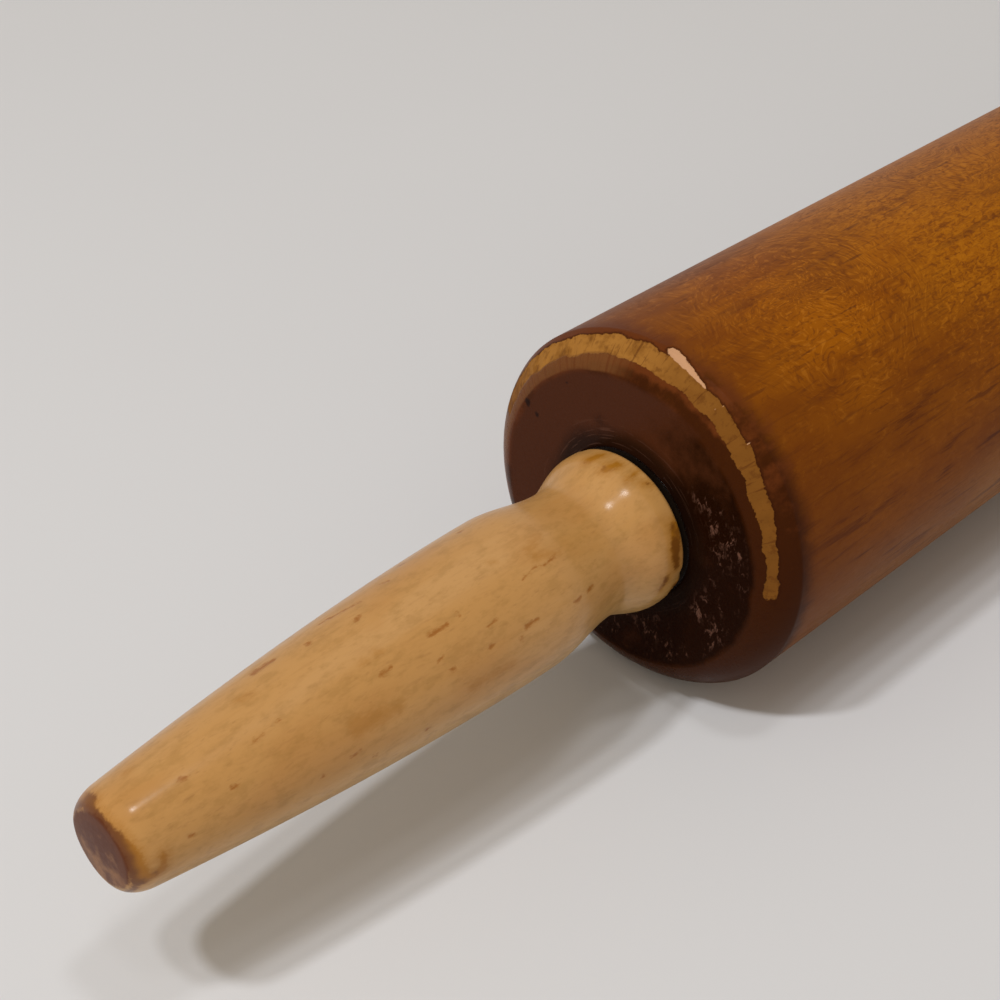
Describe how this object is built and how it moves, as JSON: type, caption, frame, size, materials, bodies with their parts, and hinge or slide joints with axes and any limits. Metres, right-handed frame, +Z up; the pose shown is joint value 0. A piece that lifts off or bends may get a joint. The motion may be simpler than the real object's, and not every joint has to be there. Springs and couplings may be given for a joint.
{
  "type": "rolling pin",
  "caption": "Hardwood rolling pin: a stained barrel turns on ball bearings on a steel axle between turned beech handles.",
  "frame": {"origin": "on the surface that the pin rests on, under the middle of the barrel", "axes": "+X along the pin's axis towards the right handle, +Z up, axis at Z = 32 mm; the pictured end is the left one, at -X"},
  "size_m": [0.4604, 0.064, 0.064],
  "materials": {
    "stained_barrel_wood": "semi-gloss lacquer over brown stain, worn to bare wood on the corners",
    "lacquered_beech": "clear semi-gloss lacquer",
    "axle_steel": "cold drawn",
    "washer_steel": "zinc plated",
    "housing_nylon": "moulded nylon",
    "bearing_steel": "ground",
    "ball_steel": "polished",
    "cage_nylon": "moulded nylon",
    "shield_steel": "pressed sheet"
  },
  "bodies": {
    "handles": {"axle_rod": "axle_steel", "left_handle": "lacquered_beech", "right_handle": "lacquered_beech", "left_spacer_washer": "washer_steel", "right_spacer_washer": "washer_steel", "left_inner_race": "bearing_steel", "right_inner_race": "bearing_steel"},
    "barrel": {"barrel": "stained_barrel_wood", "left_bearing_housing": "housing_nylon", "right_bearing_housing": "housing_nylon", "left_outer_race": "bearing_steel", "right_outer_race": "bearing_steel", "left_outer_shield": "shield_steel", "right_outer_shield": "shield_steel", "left_inner_shield": "shield_steel", "right_inner_shield": "shield_steel"},
    "left_ball_train": {"left_bearing_balls": "ball_steel", "left_ball_cage": "cage_nylon"},
    "right_ball_train": {"right_bearing_balls": "ball_steel", "right_ball_cage": "cage_nylon"}
  },
  "joints": [
    {"name": "barrel_spin", "type": "hinge", "parent": "handles", "child": "barrel", "pos_m": [0, 0, 0.032], "axis": [1, 0, 0], "continuous": true},
    {"name": "left_ball_train_spin", "type": "hinge", "parent": "handles", "child": "left_ball_train", "pos_m": [-0.1229, 0, 0.032], "axis": [1, 0, 0], "continuous": true},
    {"name": "right_ball_train_spin", "type": "hinge", "parent": "handles", "child": "right_ball_train", "pos_m": [0.1229, 0, 0.032], "axis": [1, 0, 0], "continuous": true}
  ],
  "couplings": [
    {"joint": "left_ball_train_spin", "follows": "barrel_spin", "ratio": 0.6323},
    {"joint": "right_ball_train_spin", "follows": "barrel_spin", "ratio": 0.6323}
  ]
}
